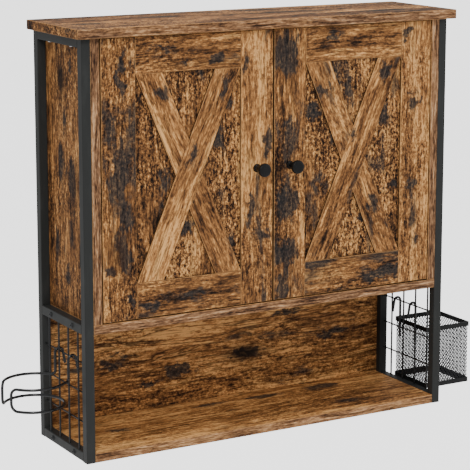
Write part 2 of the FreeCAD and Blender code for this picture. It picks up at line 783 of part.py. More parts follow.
for side, sign in WORLD.items():
    tag = "door_%s_" % side
    low_x = (
        -inner + board_t + dim("door_side_gap") if sign < 0 else dim("door_mid_gap") / 2
    )
    axis_x = sign * pivot_x
    knob_x = sign * dim("knob_out")
    sw, rw = dim("stile_width"), dim("rail_width")

    panel = board(tag + "panel", door_w, dim("door_base"), door_h, dim("arris"))
    place(panel, low_x, strip_y, door_z)
    panel = drilled(
        tag + "panel",
        panel,
        [
            (axis_x, pivot_y, door_z - 1, "+Z", dim("bush_r"), dim("bush_long") + 1),
            (axis_x, pivot_y, door_z + door_h + 1, "-Z", dim("bush_r"), dim("bush_long") + 1),
            (knob_x, -depth - 1, dim("knob_level"), "+Y", 2.15, 20),
        ],
    )
    node(panel, tag + "panel")

    # the stile on the hinge side is called outer, the one with the knob inner
    left_stile, right_stile = ("outer", "inner") if sign < 0 else ("inner", "outer")
    for which, x in ((left_stile, low_x), (right_stile, low_x + door_w - sw)):
        name = tag + "stile_" + which
        if which == "outer":
            strip(name, rectangle(0, 0, sw, door_h), x, door_z)
        else:
            body = strip(name, rectangle(0, 0, sw, door_h), x, door_z)
            NODES.pop()
            body.Label = name + "_plain"
            bored = drilled(
                name, body, [(knob_x, -depth - 1, dim("knob_level"), "+Y", 2.15, 20)]
            )
            node(bored, name)
    rail = rectangle(gap, 0, open_w - gap, rw)
    strip(tag + "rail_bottom", rail, low_x + sw, door_z)
    strip(tag + "rail_top", rail, low_x + sw, door_z + door_h - rw)

    # braces: one runs corner to corner, the other is two halves against it
    ox, oz = low_x + sw, door_z + rw
    strip(
        tag + "brace_long",
        [
            (gap, gap),
            (cut_w, gap),
            (open_w - gap, open_h - gap),
            (open_w - cut_w, open_h - gap),
        ],
        ox,
        oz,
    )
    rise = cut_w / (2 * lean)
    strip(
        tag + "brace_upper",
        [
            (gap, open_h - gap),
            ((open_w - cut_w) / 2 - gap, open_h / 2),
            (open_w / 2 - gap, open_h / 2 + rise),
            (cut_w, open_h - gap),
        ],
        ox,
        oz,
    )
    strip(
        tag + "brace_lower",
        [
            (open_w - cut_w, gap),
            (open_w - gap, gap),
            ((open_w + cut_w) / 2 + gap, open_h / 2),
            (open_w / 2 + gap, open_h / 2 - rise),
        ],
        ox,
        oz,
    )

    # knob: a turned head on a waisted neck
    name = tag + "knob"
    body = doc.addObject("PartDesign::Body", name)
    sk = new_sketch(body, name + "_profile", "XZ_Plane")
    kr, kl = dim("knob_r"), dim("knob_long")
    polygon(
        sk,
        [
            (2.05, 0),
            (7.0, 0),
            (6.6, 2.0),
            (4.9, 5.0),
            (4.6, kl - 13),
            (6.2, kl - 9.6),
            (kr - 0.8, kl - 7.2),
            (kr, kl - 5.6),
            (kr, kl - 2.4),
            (kr - 0.5, kl - 1.0),
            (kr - 1.8, kl - 0.25),
            (kr - 3.6, kl),
            (0, kl),
            (0, 15),
            (2.05, 15),
        ],
    )
    rev = body.newObject("PartDesign::Revolution", name + "_turned")
    rev.Profile = sk
    rev.ReferenceAxis = (sk, ["V_Axis"])
    rev.Angle = 360
    place(body, knob_x, -depth, dim("knob_level"), (1, 0, 0), 90)
    node(body, name)

    screw = pan_screw(4.3, 2.2, 2.0, 28.5)
    solid_group(
        tag + "knob_screw",
        [
            set_at(
                screw,
                knob_x.value,
                strip_y.value + VALUE["door_base"],
                VALUE["knob_level"],
                (0, 1, 0),
            )
        ],
    )

    # steel plate that the catch's magnet holds, on the back of the door
    name = tag + "striker"
    body = doc.addObject("PartDesign::Body", name)
    sk = new_sketch(body, name + "_outline")
    polygon(sk, rectangle(0, 0, 20, 12))
    circle(sk, 10, 6, 1.6)
    p = pad(body, sk, 1.2)
    fillet(body, p, 2.0, lambda e, m: e.Length < 1.3 and e.Curve.TypeId != "Part::GeomCircle" and abs(e.tangentAt(e.FirstParameter).z) > 0.9)
    place(
        body,
        -25 if sign < 0 else 5,
        strip_y + dim("door_base") + 1.2,
        high - 15,
        (1, 0, 0),
        90,
    )
    node(body, name)

    # bushes at the top and the bottom edge, running on the pivot pins
    bushes = []
    for base, up in (
        (door_z.value, 1),
        (door_z.value + door_h.value, -1),
    ):
        at = Vector(axis_x.value, pivot_y.value, base)
        bush = Part.makeCylinder(VALUE["bush_r"], VALUE["bush_long"], at, Vector(0, 0, up))
        hole = Part.makeCylinder(
            VALUE["pivot_r"] + VALUE["run_fit"], VALUE["bush_long"] - 1.0, at, Vector(0, 0, up)
        )
        bushes.append(bush.cut(hole))
    solid_group(tag + "pivot_bushes", bushes)

# ------------------------------------------------------------------ basket
bx, by, bz = dim("basket_near"), -dim("basket_rear") - dim("basket_deep"), dim("basket_low")
bw, bd, st = dim("basket_wide"), dim("basket_deep"), dim("basket_strip")


def ring_body(name, outer, hole, length):
    body = doc.addObject("PartDesign::Body", name)
    sk = new_sketch(body, name + "_outline")
    polygon(sk, outer)
    polygon(sk, hole)
    return body, pad(body, sk, length)


def upright_outside(w, d):
    def test(e, m):
        return (
            abs(e.tangentAt(e.FirstParameter).z) > 0.9
            and min(m.x, w - m.x) < 0.01
            and min(m.y, d - m.y) < 0.01
        )

    return test


rim, p = ring_body(
    "basket_top_rim",
    rectangle(0, 0, bw, bd),
    rectangle(st, st, bw - st, bd - st),
    dim("basket_band"),
)
fillet(rim, p, 1.2, upright_outside(VALUE["basket_wide"], VALUE["basket_deep"]))
place(rim, bx, by, bz + dim("basket_tall") - dim("basket_band"))
node(rim, "basket_top_rim")

base, p = ring_body(
    "basket_base_frame",
    rectangle(0, 0, bw, bd),
    rectangle(
        dim("basket_flange"),
        dim("basket_flange"),
        bw - dim("basket_flange"),
        bd - dim("basket_flange"),
    ),
    dim("basket_band"),
)
fillet(base, p, 1.2, upright_outside(VALUE["basket_wide"], VALUE["basket_deep"]))
doc.recompute()
sk = new_sketch(base, "base_frame_hollow")
polygon(sk, rectangle(st, st, bw - st, bd - st))
pocket = base.newObject("PartDesign::Pocket", "base_frame_pocket")
pocket.Profile = sk
pocket.Length = VALUE["basket_band"] + 2
# the hollow starts above the flange: the sketch is lifted by the strip's thickness
sk.AttachmentOffset = Placement(Vector(0, 0, VALUE["basket_strip"]), Rotation())
bind(sk, "AttachmentOffset.Base.z", st)
pocket.Reversed = True
place(base, bx, by, bz)
node(base, "basket_base_frame")

mt = dim("mesh_thick")
walls, p = ring_body(
    "basket_mesh_walls",
    rectangle(0, 0, bw - 2 * st, bd - 2 * st),
    rectangle(mt, mt, bw - 2 * st - mt, bd - 2 * st - mt),
    dim("basket_tall") - st - 1.0,
)
place(walls, bx + st, by + st, bz + st)
node(walls, "basket_mesh_walls")

mesh_floor = board("basket_mesh_floor", bw - 2 * st - 2 * mt, bd - 2 * st - 2 * mt, mt)
place(mesh_floor, bx + st + mt, by + st + mt, bz + st)
node(mesh_floor, "basket_mesh_floor")


def hook_path_piece(name, y, leg_low):
    """One basket hook: an outer leg, a half turn over the wire, a short inner leg."""
    body = doc.addObject("PartDesign::Body", name)
    bend = VALUE["hook_bend"]
    # sketch x is measured from the outer leg towards the cabinet, y is height
    sit = math.sqrt(
        (bend - VALUE["hook_wire_r"] - VALUE["wire_bar"] / 2 - 0.3) ** 2
        - (VALUE["hook_out"] - bend - VALUE["wire_bar_out"]) ** 2
    )
    zc = VALUE["bar_first"] + 2 * VALUE["bar_pitch"] - sit
    spine = new_sketch(body, name + "_spine", "XZ_Plane")
    lean_a = math.radians(10)
    c = Vector(-bend, zc - leg_low, 0)
    end = Vector(
        c.x - bend * math.cos(lean_a), c.y + bend * math.sin(lean_a), 0
    )
    tip = Vector(end.x - 20.0 * math.sin(lean_a), end.y - 20.0 * math.cos(lean_a), 0)
    spine.addGeometry(Part.LineSegment(Vector(0, 0, 0), Vector(0, c.y, 0)), False)
    spine.addGeometry(
        Part.ArcOfCircle(Part.Circle(c, Vector(0, 0, 1), bend), 0, math.pi - lean_a), False
    )
    spine.addGeometry(Part.LineSegment(end, tip), False)
    spine.addConstraint(Sketcher.Constraint("Coincident", 0, 1, -1, 1))
    spine.addConstraint(Sketcher.Constraint("Coincident", 0, 2, 1, 1))
    spine.addConstraint(Sketcher.Constraint("Coincident", 1, 2, 2, 1))
    r = spine.addConstraint(Sketcher.Constraint("Radius", 1, bend))
    spine.setExpression("Constraints[%d]" % r, dim("hook_bend").text)
    section = new_sketch(body, name + "_section", "XY_Plane")
    circle(section, 0, 0, dim("hook_wire_r"))
    pipe = body.newObject("PartDesign::AdditivePipe", name + "_bent")
    pipe.Profile = section
    pipe.Spine = (spine, ["Edge1", "Edge2", "Edge3"])
    place(body, dim("hook_out"), y, leg_low)
    return body, zc


hooks = []
for i, y in enumerate((-54.0, -101.0)):
    piece, hook_centre = hook_path_piece("basket_hook_%d" % i, y, 90.0)
    hooks.append(piece)
both = doc.addObject("Part::Compound", "basket_hooks")
both.Links = hooks
node(both, "basket_hooks")


# ------------------------------------------------------------ dryer holder
def arc3(a, m, b):
    return Part.Arc(a, m, b).toShape()


def holder_route():
    """Centre line of the holder's single wire, as joined lines and arcs."""
    R, zc_out = VALUE["ring_r"], VALUE["ring_out"]
    cx, cy = -zc_out, -VALUE["ring_rear"]
    bend, r = VALUE["holder_bend"], VALUE["holder_wire_r"]
    leg = VALUE["holder_leg_out"]
    zu, zl = VALUE["ring_high"], VALUE["ring_low"]
    arc_u = leg - bend  # centre of the hook's bend, from the middle plane
    sit = math.sqrt(
        (bend - r - VALUE["wire_bar"] / 2 - 0.3) ** 2 - (arc_u - VALUE["wire_bar_out"]) ** 2
    )
    zc = VALUE["bar_first"] + 2 * VALUE["bar_pitch"] - sit
    lean_a = math.radians(10)
    edges = []

    def P(u, y, z):
        return Vector(-u, y, z)

    def hook(y):
        """Edges from the inner tip, over the wire, down to the start of the foot's bend."""
        end = (arc_u - bend * math.cos(lean_a), zc + bend * math.sin(lean_a))
        tip = (end[0] - 20 * math.sin(lean_a), end[1] - 20 * math.cos(lean_a))
        top_pt = (arc_u, zc + bend)
        return [
            Part.LineSegment(P(tip[0], y, tip[1]), P(end[0], y, end[1])).toShape(),
            arc3(P(end[0], y, end[1]), P(top_pt[0], y, top_pt[1]), P(leg, y, zc)),
            Part.LineSegment(P(leg, y, zc), P(leg, y, zu + foot)).toShape(),
        ]

    foot = 6.0
    half_span = 25.0  # hooks either side of the rings' centre
    # tangent from a leg's foot to the circle, in plan; u is outwards, v along +Y
    ax, av = leg - zc_out, half_span
    dist = math.hypot(ax, av)
    to_centre = math.atan2(-av, -ax)
    head = to_centre + math.asin(R / dist)
    run = math.sqrt(dist * dist - R * R)
    d = (math.cos(head), math.sin(head))
    touch = (leg + run * d[0], half_span + run * d[1])
    phi_touch = math.atan2(touch[1], touch[0] - zc_out)
    phi_end = math.radians(34.4)
    turn = 11.5
    k = math.sqrt(0.5)

    def mirror(p):
        return Vector(p.x, 2 * cy - p.y, p.z)

    def ring(phi, z):
        return Vector(cx - R * math.cos(phi), cy + R * math.sin(phi), z)

    # rear half, from the hook's tip to the lower ring
    y = cy + half_span
    near = hook(y)
    foot_a = P(leg, y, zu + foot)
    foot_b = Vector(-(leg + foot * d[0]), y + foot * d[1], zu)
    foot_m = Vector(
        -(leg + foot * (1 - k) * d[0]), y + foot * (1 - k) * d[1], zu + foot * (1 - k)
    )
    touch_p = Vector(-touch[0], cy + touch[1], zu)
    half_wire = near + [
        arc3(foot_a, foot_m, foot_b),
        Part.LineSegment(foot_b, touch_p).toShape(),
        arc3(touch_p, ring((phi_touch + phi_end) / 2, zu), ring(phi_end, zu)),
    ]
    t = Vector(-math.sin(phi_end), -math.cos(phi_end), 0)
    a = ring(phi_end, zu)
    b = a + t * turn + Vector(0, 0, -turn)
    m = a + t * (turn * k) + Vector(0, 0, -turn * (1 - k))
    c = ring(phi_end, zl) + t * turn + Vector(0, 0, turn)
    e = ring(phi_end, zl)
    m2 = e + t * (turn * k) + Vector(0, 0, turn * (1 - k))
    half_wire += [arc3(a, m, b), Part.LineSegment(b, c).toShape(), arc3(c, m2, e)]
    # the lower ring, right round the side next to the grid
    lower_ring = [
        arc3(e, ring(math.pi * 0.62, zl), ring(math.pi, zl)),
        arc3(ring(math.pi, zl), ring(-math.pi * 0.62, zl), ring(-phi_end, zl)),
    ]

    def flip(edge):
        g = edge.copy()
        return g.mirror(Vector(0, cy, 0), Vector(0, 1, 0))

    edges = half_wire + lower_ring + [flip(x) for x in reversed(half_wire)]
    return edges, zc


edges, holder_centre = holder_route()
route = Part.Wire(Part.__sortEdges__(edges))
start = route.OrderedVertexes[0].Point
first = route.OrderedEdges[0]
tangent = first.tangentAt(first.FirstParameter)
if (first.valueAt(first.FirstParameter) - start).Length > 1e-4:
    tangent = first.tangentAt(first.LastParameter) * -1
section = Part.Wire(
    [Part.Circle(start, tangent, VALUE["holder_wire_r"]).toShape()]
)
swept = route.makePipeShell([section], True, False)
if swept.ShapeType != "Solid":
    swept = swept.Solids[0]
expected = math.pi * VALUE["holder_wire_r"] ** 2 * route.Length
print("dryer holder wire %.1f mm long, volume %.0f, section times length %.0f" % (route.Length, swept.Volume, expected))
holder = doc.addObject("Part::Feature", "dryer_holder_wire")
holder.Shape = swept
holder.Placement = Placement(Vector(0, 0, 0), Rotation())
node(holder, "dryer_holder_wire")

# ------------------------------------------------------------------ export
doc.recompute()
bad = [
    (o.Name, list(o.State))
    for o in doc.Objects
    if "Invalid" in o.State or "Error" in o.State
]
if bad:
    raise RuntimeError("objects failed: %r" % bad)
labels = [label for label, obj in NODES]
if len(set(labels)) != len(labels):
    raise RuntimeError("two sub-parts share a label")
for label, obj in NODES:
    s = obj.Shape
    if s.isNull() or not s.isValid() or not s.Solids or s.Volume <= 0:
        raise RuntimeError("bad shape: " + label)
for label, obj in NODES:
    obj.Shape.exportStep("parts/%s.step" % label)
    bb = obj.Shape.BoundBox
    print(
        "%-26s %2d solids  X %8.2f %8.2f  Y %8.2f %8.2f  Z %8.2f %8.2f  vol %10.1f"
        % (label, len(obj.Shape.Solids), bb.XMin, bb.XMax, bb.YMin, bb.YMax, bb.ZMin, bb.ZMax, obj.Shape.Volume)
    )
print(len(NODES), "nodes")
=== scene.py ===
import math

import bpy
import bmesh
from mathutils import Euler, Matrix, Vector


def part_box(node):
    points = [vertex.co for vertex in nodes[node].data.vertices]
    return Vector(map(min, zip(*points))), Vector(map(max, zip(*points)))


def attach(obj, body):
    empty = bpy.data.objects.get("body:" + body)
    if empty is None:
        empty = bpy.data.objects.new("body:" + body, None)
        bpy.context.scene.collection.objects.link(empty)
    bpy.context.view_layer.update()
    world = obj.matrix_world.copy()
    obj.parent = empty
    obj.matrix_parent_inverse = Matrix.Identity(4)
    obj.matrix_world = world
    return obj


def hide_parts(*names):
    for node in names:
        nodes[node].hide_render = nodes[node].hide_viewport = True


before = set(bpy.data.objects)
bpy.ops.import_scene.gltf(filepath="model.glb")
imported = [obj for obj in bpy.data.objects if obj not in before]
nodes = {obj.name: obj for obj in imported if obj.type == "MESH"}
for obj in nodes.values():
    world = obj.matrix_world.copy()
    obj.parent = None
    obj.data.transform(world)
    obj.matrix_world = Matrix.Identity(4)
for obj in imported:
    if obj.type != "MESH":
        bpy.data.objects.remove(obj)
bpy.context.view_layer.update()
scene = bpy.context.scene


# ------------------------------------------------------------------ helpers
def lin(r, g, b):
    def one(c):
        c /= 255.0
        return c / 12.92 if c <= 0.04045 else ((c + 0.055) / 1.055) ** 2.4

    return (one(r), one(g), one(b), 1.0)


class Tree:
    """Small helper that adds nodes and links them."""

    def __init__(self, tree):
        self.t = tree

    def add(self, kind, **sockets):
        n = self.t.nodes.new(kind)
        for k, v in sockets.items():
            setattr(n, k, v)
        return n

    def put(self, value, socket):
        if isinstance(value, bpy.types.NodeSocket):
            self.t.links.new(value, socket)
        elif value is not None:
            socket.default_value = value

    def math(self, op, a, b=None, c=None, clamp=False):
        n = self.add("ShaderNodeMath", operation=op, use_clamp=clamp)
        for i, v in enumerate((a, b, c)):
            self.put(v, n.inputs[i])
        return n.outputs[0]

    def vec(self, op, a, b=None):
        n = self.add("ShaderNodeVectorMath", operation=op)
        self.put(a, n.inputs[0])
        if b is not None:
            self.put(b, n.inputs[1])
        return n.outputs["Value" if op in ("LENGTH", "DOT_PRODUCT") else 0]

    def noise(self, vector, scale=1.0, detail=2.0, rough=0.5, distort=0.0, colour=False):
        n = self.add("ShaderNodeTexNoise", noise_dimensions="3D")
        self.put(vector, n.inputs["Vector"])
        n.inputs["Scale"].default_value = scale
        n.inputs["Detail"].default_value = detail
        n.inputs["Roughness"].default_value = rough
        n.inputs["Distortion"].default_value = distort
        return n.outputs["Color" if colour else 0]

    def ramp(self, fac, stops, ease="LINEAR"):
        n = self.add("ShaderNodeValToRGB")
        r = n.color_ramp
        r.interpolation = ease
        while len(r.elements) > 1:
            r.elements.remove(r.elements[-1])
        r.elements[0].position, r.elements[0].color = stops[0]
        for p, c in stops[1:]:
            e = r.elements.new(p)
            e.color = c
        self.put(fac, n.inputs[0])
        return n.outputs[0]

    def mix(self, fac, a, b):
        n = self.add("ShaderNodeMix", data_type="RGBA", blend_type="MIX", clamp_factor=True)
        self.put(fac, n.inputs[0])
        self.put(a, n.inputs[6])
        self.put(b, n.inputs[7])
        return n.outputs[2]

    def span(self, value, low, high):
        """0 at low, 1 at high, smooth and clamped."""
        n = self.add("ShaderNodeMapRange", interpolation_type="SMOOTHSTEP", clamp=True)
        self.put(value, n.inputs[0])
        n.inputs[1].default_value, n.inputs[2].default_value = low, high
        n.inputs[3].default_value, n.inputs[4].default_value = 0.0, 1.0
        return n.outputs[0]


def material(name):
    m = bpy.data.materials.new(name)
    m.use_nodes = True
    t = m.node_tree
    t.nodes.clear()
    k = Tree(t)
    out = k.add("ShaderNodeOutputMaterial")
    bsdf = k.add("ShaderNodeBsdfPrincipled")
    t.links.new(bsdf.outputs[0], out.inputs[0])
    return m, k, bsdf


# ------------------------------------------------- rustic wood, as one group
def wood_group():
    g = bpy.data.node_groups.new("rustic_wood", "ShaderNodeTree")
    i = g.interface
    i.new_socket("Vector", in_out="INPUT", socket_type="NodeSocketVector")
    i.new_socket("Tone", in_out="INPUT", socket_type="NodeSocketFloat")
    i.new_socket("Char", in_out="INPUT", socket_type="NodeSocketFloat")
    i.new_socket("Speckle", in_out="INPUT", socket_type="NodeSocketFloat")
    i.new_socket("Patch", in_out="INPUT", socket_type="NodeSocketFloat")
    i.new_socket("Edge", in_out="INPUT", socket_type="NodeSocketFloat")
    i.new_socket("Banding", in_out="INPUT", socket_type="NodeSocketFloat")
    i.new_socket("Lines", in_out="INPUT", socket_type="NodeSocketFloat")
    i.new_socket("Color", in_out="OUTPUT", socket_type="NodeSocketColor")
    i.new_socket("Rough", in_out="OUTPUT", socket_type="NodeSocketFloat")
    i.new_socket("Height", in_out="OUTPUT", socket_type="NodeSocketFloat")
    k = Tree(g)
    src = k.add("NodeGroupInput")
    dst = k.add("NodeGroupOutput")
    v0 = src.outputs["Vector"]

    # wavy grain
    w = k.noise(k.vec("MULTIPLY", v0, (5.0, 9.0, 9.0)), 1.0, 2.0, 0.5, colour=True)
    w = k.vec("MULTIPLY", k.vec("SUBTRACT", w, (0.5, 0.5, 0.5)), (0.0, 0.018, 0.018))
    v = k.vec("ADD", v0, w)

    def layer(sx, sy, detail, rough, distort=0.0):
        return k.noise(k.vec("MULTIPLY", v, (sx, sy, sy)), 1.0, detail, rough, distort)

    tone = layer(2.6, 13.0, 4.0, 0.66)
    band = layer(4.0, 62.0, 4.0, 0.66)
    grain = layer(24.0, 235.0, 3.0, 0.70)
    fine = layer(105.0, 430.0, 2.0, 0.70)
    speck = layer(185.0, 265.0, 2.0, 0.8)
    flake = layer(60.0, 190.0, 3.0, 0.7)
    blotch = layer(5.2, 15.0, 4.0, 0.6, 0.5)
    blotch2 = layer(9.0, 26.0, 3.0, 0.6, 0.3)
    where = layer(7.0, 9.0, 2.0, 0.5)

    def centred(x, gain):
        return k.math("MULTIPLY", k.math("SUBTRACT", x, 0.5), gain)

    chip = layer(42.0, 150.0, 2.0, 0.7, 0.4)
    t = k.math("ADD", 0.53, centred(tone, 1.7))
    t = k.math("ADD", t, centred(band, 1.3))
    t = k.math("ADD", t, centred(grain, 1.25))
    t = k.math("ADD", t, centred(fine, 0.95))
    t = k.math("ADD", t, centred(chip, 0.8))
    local = k.span(where, 0.38, 0.60)
    spk = k.math("MULTIPLY", src.outputs["Speckle"], k.math("MULTIPLY_ADD", local, 0.7, 0.3))
    t = k.math("ADD", t, k.math("MULTIPLY", centred(speck, 3.4), spk))
    t = k.math("ADD", t, k.math("MULTIPLY", centred(flake, 1.3), spk))
    t = k.math("ADD", t, src.outputs["Tone"])
    t = k.math("MINIMUM", k.math("MAXIMUM", t, 0.0), 1.0)
    col = k.ramp(
        t,
        [
            (0.00, lin(20, 13, 9)),
            (0.18, lin(48, 32, 21)),
            (0.36, lin(88, 58, 35)),
            (0.54, lin(127, 85, 49)),
            (0.70, lin(161, 111, 65)),
            (0.86, lin(198, 141, 84)),
            (1.00, lin(234, 176, 110)),
        ],
    )

    # fine splits that wander along the grain, and short crazed marks
    split_n = layer(8.0, 105.0, 3.0, 0.6, 0.6)
    split = k.math("SUBTRACT", 1.0, k.span(k.math("ABSOLUTE", k.math("SUBTRACT", split_n, 0.5)), 0.006, 0.042))
    split = k.math("MULTIPLY", split, k.span(band, 0.44, 0.56))
    craze_n = layer(55.0, 150.0, 2.0, 0.6, 0.8)
    craze = k.math("SUBTRACT", 1.0, k.span(k.math("ABSOLUTE", k.math("SUBTRACT", craze_n, 0.5)), 0.014, 0.075))
    craze = k.math("MULTIPLY", k.math("MULTIPLY", craze, spk), k.span(flake, 0.42, 0.60))
    # long open grain lines, strongest where Lines is raised
    run_n = layer(3.2, 46.0, 4.0, 0.55, 1.6)
    run = k.math("SUBTRACT", 1.0, k.span(k.math("ABSOLUTE", k.math("SUBTRACT", run_n, 0.52)), 0.006, 0.050))
    run = k.math("MULTIPLY", k.math("MULTIPLY", run, src.outputs["Lines"]), k.span(tone, 0.36, 0.52))
    lines = k.math("MAXIMUM", k.math("MAXIMUM", k.math("MULTIPLY", split, 0.75), craze), run)
    col = k.mix(k.math("MULTIPLY", lines, 0.80), col, lin(26, 15, 10))

    # charcoal patches, torn along the grain
    edge = k.math("ADD", blotch, centred(grain, 0.20))
    edge = k.math("ADD", edge, centred(band, 0.12))
    edge = k.math("ADD", edge, k.math("MULTIPLY", src.outputs["Char"], 0.10))
    big = k.span(edge, 0.580, 0.665)
    edge2 = k.math("ADD", blotch2, centred(fine, 0.25))
    edge2 = k.math("ADD", edge2, k.math("MULTIPLY", src.outputs["Char"], 0.08))
    small = k.span(edge2, 0.61, 0.68)
    hand = k.span(
        k.math(
            "ADD",
            src.outputs["Patch"],
            k.math("ADD", centred(chip, 0.9), k.math("ADD", centred(blotch2, 1.3), centred(flake, 1.2))),
        ),
        0.26,
        0.70,
    )
    dark = k.math("MAXIMUM", big, k.math("MAXIMUM", k.math("MULTIPLY", small, 0.8), hand))
    inner = k.math("ADD", 0.40, k.math("ADD", centred(grain, 1.3), k.math("ADD", centred(fine, 1.0), centred(speck, 1.3))))
    char = k.ramp(
        inner,
        [
            (0.00, lin(18, 18, 19)),
            (0.35, lin(42, 40, 40)),
            (0.60, lin(68, 60, 53)),
            (0.85, lin(112, 86, 60)),
            (1.00, lin(160, 120, 78)),
        ],
    )
    col = k.mix(k.math("MULTIPLY", dark, 0.92), col, char)

    # knots
    vor = k.add("ShaderNodeTexVoronoi", voronoi_dimensions="3D", feature="F1")
    k.put(k.vec("MULTIPLY", v, (4.5, 10.0, 10.0)), vor.inputs["Vector"])
    vor.inputs["Scale"].default_value = 1.0
    vor.inputs["Randomness"].default_value = 1.0
    sep = k.add("ShaderNodeSeparateColor")
    k.put(vor.outputs["Color"], sep.inputs[0])
    d = k.math("ADD", vor.outputs["Distance"], centred(flake, 0.10))
    core = k.math("SUBTRACT", 1.0, k.span(d, 0.07, 0.15))
    halo = k.math("SUBTRACT", 1.0, k.span(d, 0.12, 0.30))
    chosen = k.math("GREATER_THAN", sep.outputs[0], 0.62)
    col = k.mix(k.math("MULTIPLY", k.math("MULTIPLY", halo, chosen), 0.45), col, lin(52, 30, 17))
    col = k.mix(k.math("MULTIPLY", k.math("MULTIPLY", core, chosen), 0.85), col, lin(20, 15, 13))

    # painted highlight along the eased edges, partly edges worn to the lighter core, found from the face's own
    # direction
    tex = k.add("ShaderNodeTexCoord")
    s = k.add("ShaderNodeSeparateXYZ")
    k.put(k.vec("ABSOLUTE", tex.outputs["Normal"]), s.inputs[0])
    most = k.math("MAXIMUM", s.outputs[0], k.math("MAXIMUM", s.outputs[1], s.outputs[2]))
    arris_highlight = k.math("SUBTRACT", 1.0, k.span(most, 0.80, 0.88))
    wear_and_highlight = k.math("MULTIPLY_ADD", fine, 1.1, 0.0, clamp=True)
    col = k.mix(k.math("MULTIPLY", arris_highlight, wear_and_highlight), col, lin(190, 142, 92))
    # edge banding on the narrow front edges is plainer and lighter
    thread = layer(14.0, 330.0, 3.0, 0.75)
    even = k.math("ADD", centred(grain, 1.4), k.math("ADD", centred(fine, 1.2), centred(thread, 2.6)))
    even = k.math("ADD", 0.50, k.math("ADD", centred(band, 1.0), even))
    plain = k.ramp(even, [(0.0, lin(46, 30, 22)), (0.30, lin(98, 68, 47)), (0.55, lin(138, 100, 70)), (0.80, lin(172, 130, 93)), (1.0, lin(206, 164, 122))])
    front = k.math("MULTIPLY", k.span(s.outputs[1], 0.86, 0.94), src.outputs["Banding"])
    col = k.mix(front, col, plain)
    # painted shade on the cut sides of the thin door strips, partly scorched dark
    side_shade_and_char = k.math("SUBTRACT", 1.0, k.span(s.outputs[1], 0.35, 0.65))
    col = k.mix(k.math("MULTIPLY", side_shade_and_char, src.outputs["Edge"]), col, lin(30, 21, 15))
    k.put(col, dst.inputs["Color"])

    rough = k.math("MULTIPLY_ADD", t, -0.10, 0.64)
    rough = k.math("ADD", rough, k.math("MULTIPLY", dark, 0.08))
    rough = k.math("ADD", rough, centred(fine, 0.10))
    k.put(rough, dst.inputs["Rough"])
    h = k.math("MULTIPLY", grain, 0.45)
    h = k.math("MULTIPLY_ADD", fine, 0.25, h)
    h = k.math("MULTIPLY_ADD", speck, 0.30, h)
    k.put(h, dst.inputs["Height"])
    return g


WOOD = wood_group()


def wood(name, grain, seed, tone=0.0, char=0.0, speckle=0.5, patches=(), edge=0.0, banding=0.0, lines=0.25):
    """Rustic wood with its grain along a unit vector; patches are (centre, radii, strength)."""
    m, k, bsdf = material(name)
    tex = k.add("ShaderNodeTexCoord")
    g = Vector(grain).normalized()
    q = g.rotation_difference(Vector((1, 0, 0)))
    mp = k.add("ShaderNodeMapping", vector_type="POINT")
    k.put(tex.outputs["Object"], mp.inputs[0])
    e = q.to_euler()
    mp.inputs["Rotation"].default_value = e
    mp.inputs["Location"].default_value = (seed * 1.37, seed * 2.11 + 0.3, seed * 0.73)
    group = k.add("ShaderNodeGroup", node_tree=WOOD)
    k.put(mp.outputs[0], group.inputs["Vector"])
    group.inputs["Tone"].default_value = tone
    group.inputs["Char"].default_value = char
    group.inputs["Speckle"].default_value = speckle
    # edge darkens the door strips' side faces: painted shade, partly scorched cut edges
    group.inputs["Edge"].default_value = edge
    group.inputs["Banding"].default_value = banding
    group.inputs["Lines"].default_value = lines
    patch = None
    ragged = k.noise(tex.outputs["Object"], 38.0, 3.0, 0.65, colour=True)
    ragged = k.vec("MULTIPLY", k.vec("SUBTRACT", ragged, (0.5, 0.5, 0.5)), (0.055, 0.0, 0.055))
    at = k.vec("ADD", tex.outputs["Object"], ragged)
    for centre, radii, strength in patches:
        radii = tuple(1.6 * r for r in radii)
        p = k.vec("DIVIDE", k.vec("SUBTRACT", at, centre), radii)
        one = k.math("MULTIPLY", k.math("SUBTRACT", 1.0, k.vec("LENGTH", p), clamp=True), strength)
        patch = one if patch is None else k.math("MAXIMUM", patch, one)
    k.put(patch if patch is not None else 0.0, group.inputs["Patch"])
    k.put(group.outputs["Color"], bsdf.inputs["Base Color"])
    k.put(group.outputs["Rough"], bsdf.inputs["Roughness"])
    bsdf.inputs["Specular IOR Level"].default_value = 0.10
    bump = k.add("ShaderNodeBump")
    bump.inputs["Strength"].default_value = 0.55
    bump.inputs["Distance"].default_value = 0.0004
    k.put(group.outputs["Height"], bump.inputs["Height"])
    k.put(bump.outputs[0], bsdf.inputs["Normal"])
    return m


# ------------------------------------------------------- metal and plastics
def coated(name, colour, rough=0.42, grain=1100.0, bump=0.12, spec=0.22, metallic=0.0):
    """Powder-coated or moulded surface: fine orange peel, faint scuffs."""
    m, k, bsdf = material(name)
    tex = k.add("ShaderNodeTexCoord")
    o = tex.outputs["Object"]
    peel = k.noise(o, grain, 2.0, 0.6)
    scuff = k.noise(k.vec("MULTIPLY", o, (60.0, 60.0, 14.0)), 1.0, 5.0, 0.6)
    dust = k.noise(o, 8.0, 3.0, 0.6)
    light = tuple(min(1.0, c * 1.5 + 0.006) for c in colour[:3]) + (1.0,)
    k.put(
        k.mix(k.math("MULTIPLY", k.span(scuff, 0.45, 0.8), 0.55), colour, light),
        bsdf.inputs["Base Color"],
    )
    r = k.math("MULTIPLY_ADD", dust, 0.16, rough - 0.08)
    r = k.math("ADD", r, k.math("MULTIPLY", k.math("SUBTRACT", peel, 0.5), 0.12))
    k.put(r, bsdf.inputs["Roughness"])
    bsdf.inputs["Specular IOR Level"].default_value = spec
    bsdf.inputs["Metallic"].default_value = metallic
    b = k.add("ShaderNodeBump")
    b.inputs["Strength"].default_value = bump
    b.inputs["Distance"].default_value = 0.0002
    k.put(peel, b.inputs["Height"])
    k.put(b.outputs[0], bsdf.inputs["Normal"])
    return m


